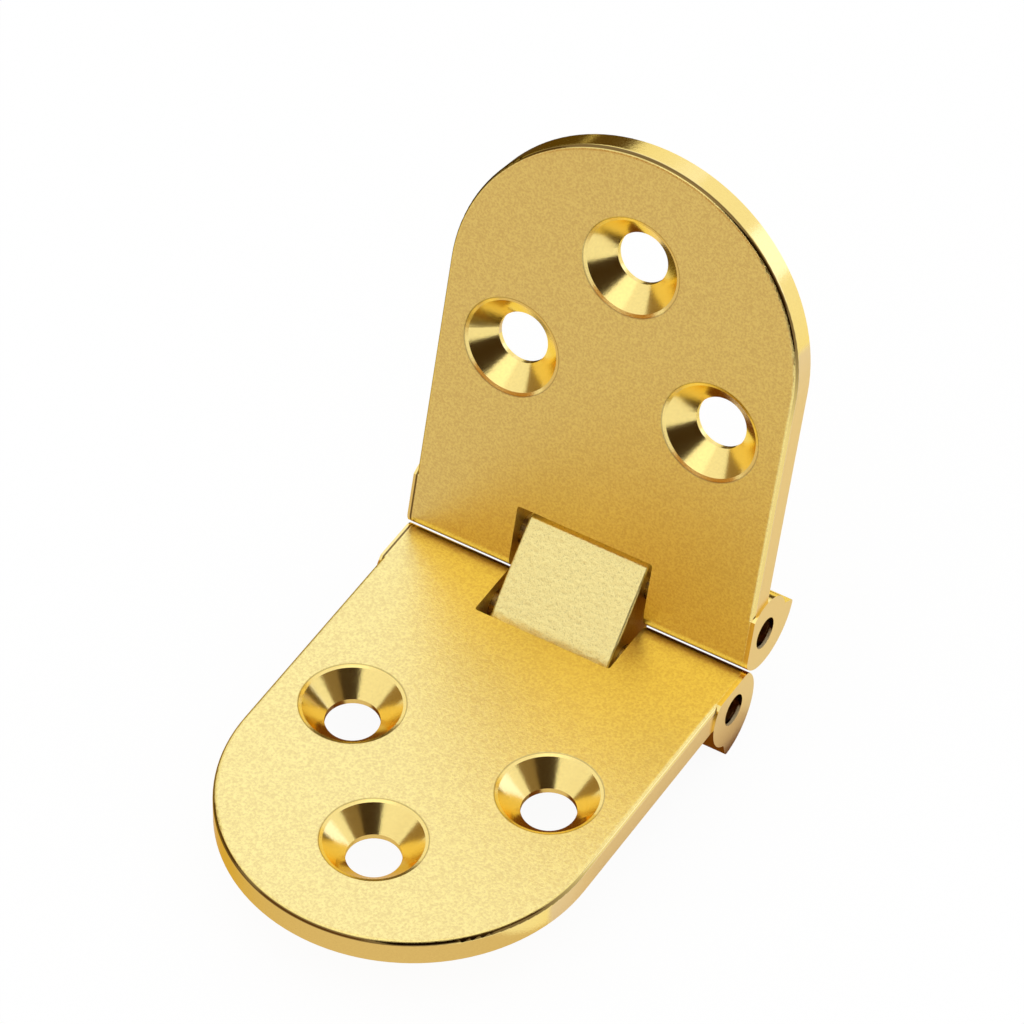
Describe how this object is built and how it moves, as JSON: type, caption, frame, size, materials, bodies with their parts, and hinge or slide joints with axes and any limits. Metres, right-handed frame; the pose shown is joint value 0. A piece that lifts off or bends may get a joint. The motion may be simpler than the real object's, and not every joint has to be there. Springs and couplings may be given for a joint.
{
  "type": "drop leaf table hinge",
  "caption": "Round-ended brass flap hinge: leaves with countersunk holes, each pivoting on its own pin in a common link block, folding from flat until the faces meet.",
  "frame": {"origin": "on the fixed leaf's seat, under the centre of its round end", "axes": "+X along the hinge axis, +Y from the round end towards the hinge, +Z out of the fixed leaf's face"},
  "size_m": [0.0304, 0.0501, 0.0451],
  "materials": {
    "leaf": "gold-coloured plating, satin faces and polished rim",
    "link": "gold-coloured plating over a rough casting",
    "pin": "drawn pin, smooth"
  },
  "bodies": {
    "fixed_leaf": {"fixed_leaf": "leaf", "fixed_leaf_pin": "pin"},
    "link": {"link_block": "link"},
    "flap_leaf": {"flap_leaf": "leaf", "flap_leaf_pin": "pin"}
  },
  "joints": [
    {"name": "link_pivot", "type": "hinge", "parent": "fixed_leaf", "child": "link", "pos_m": [0, 0.022, 0], "axis": [1, 0, 0], "range_deg": [-45.3, 44.7]},
    {"name": "flap_pivot", "type": "hinge", "parent": "link", "child": "flap_leaf", "pos_m": [0, 0.02647, 0.00451], "axis": [1, 0, 0], "range_deg": [-31.1, 58.9]}
  ]
}
